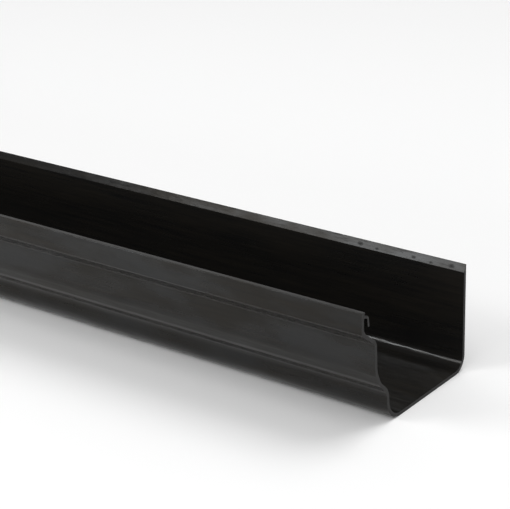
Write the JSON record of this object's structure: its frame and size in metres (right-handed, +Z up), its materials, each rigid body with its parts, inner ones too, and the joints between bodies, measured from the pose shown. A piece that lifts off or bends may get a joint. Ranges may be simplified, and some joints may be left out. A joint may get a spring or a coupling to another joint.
{
  "type": "ogee eaves gutter length",
  "caption": "Straight length of extruded plastic eaves gutter with an ogee front, a flat base and back, and a bracket hook behind the front lip.",
  "frame": {"origin": "middle of the bounding box's footprint, on the underside of the base", "axes": "+X along the length, +Y towards the fascia board the back stands against, -Y towards the ogee front, +Z up"},
  "size_m": [2, 0.11, 0.0775],
  "materials": {
    "black_pvc": "extruded rigid PVC, black, satin matt"
  },
  "bodies": {
    "root": {"gutter_channel": "black_pvc"}
  },
  "joints": []
}
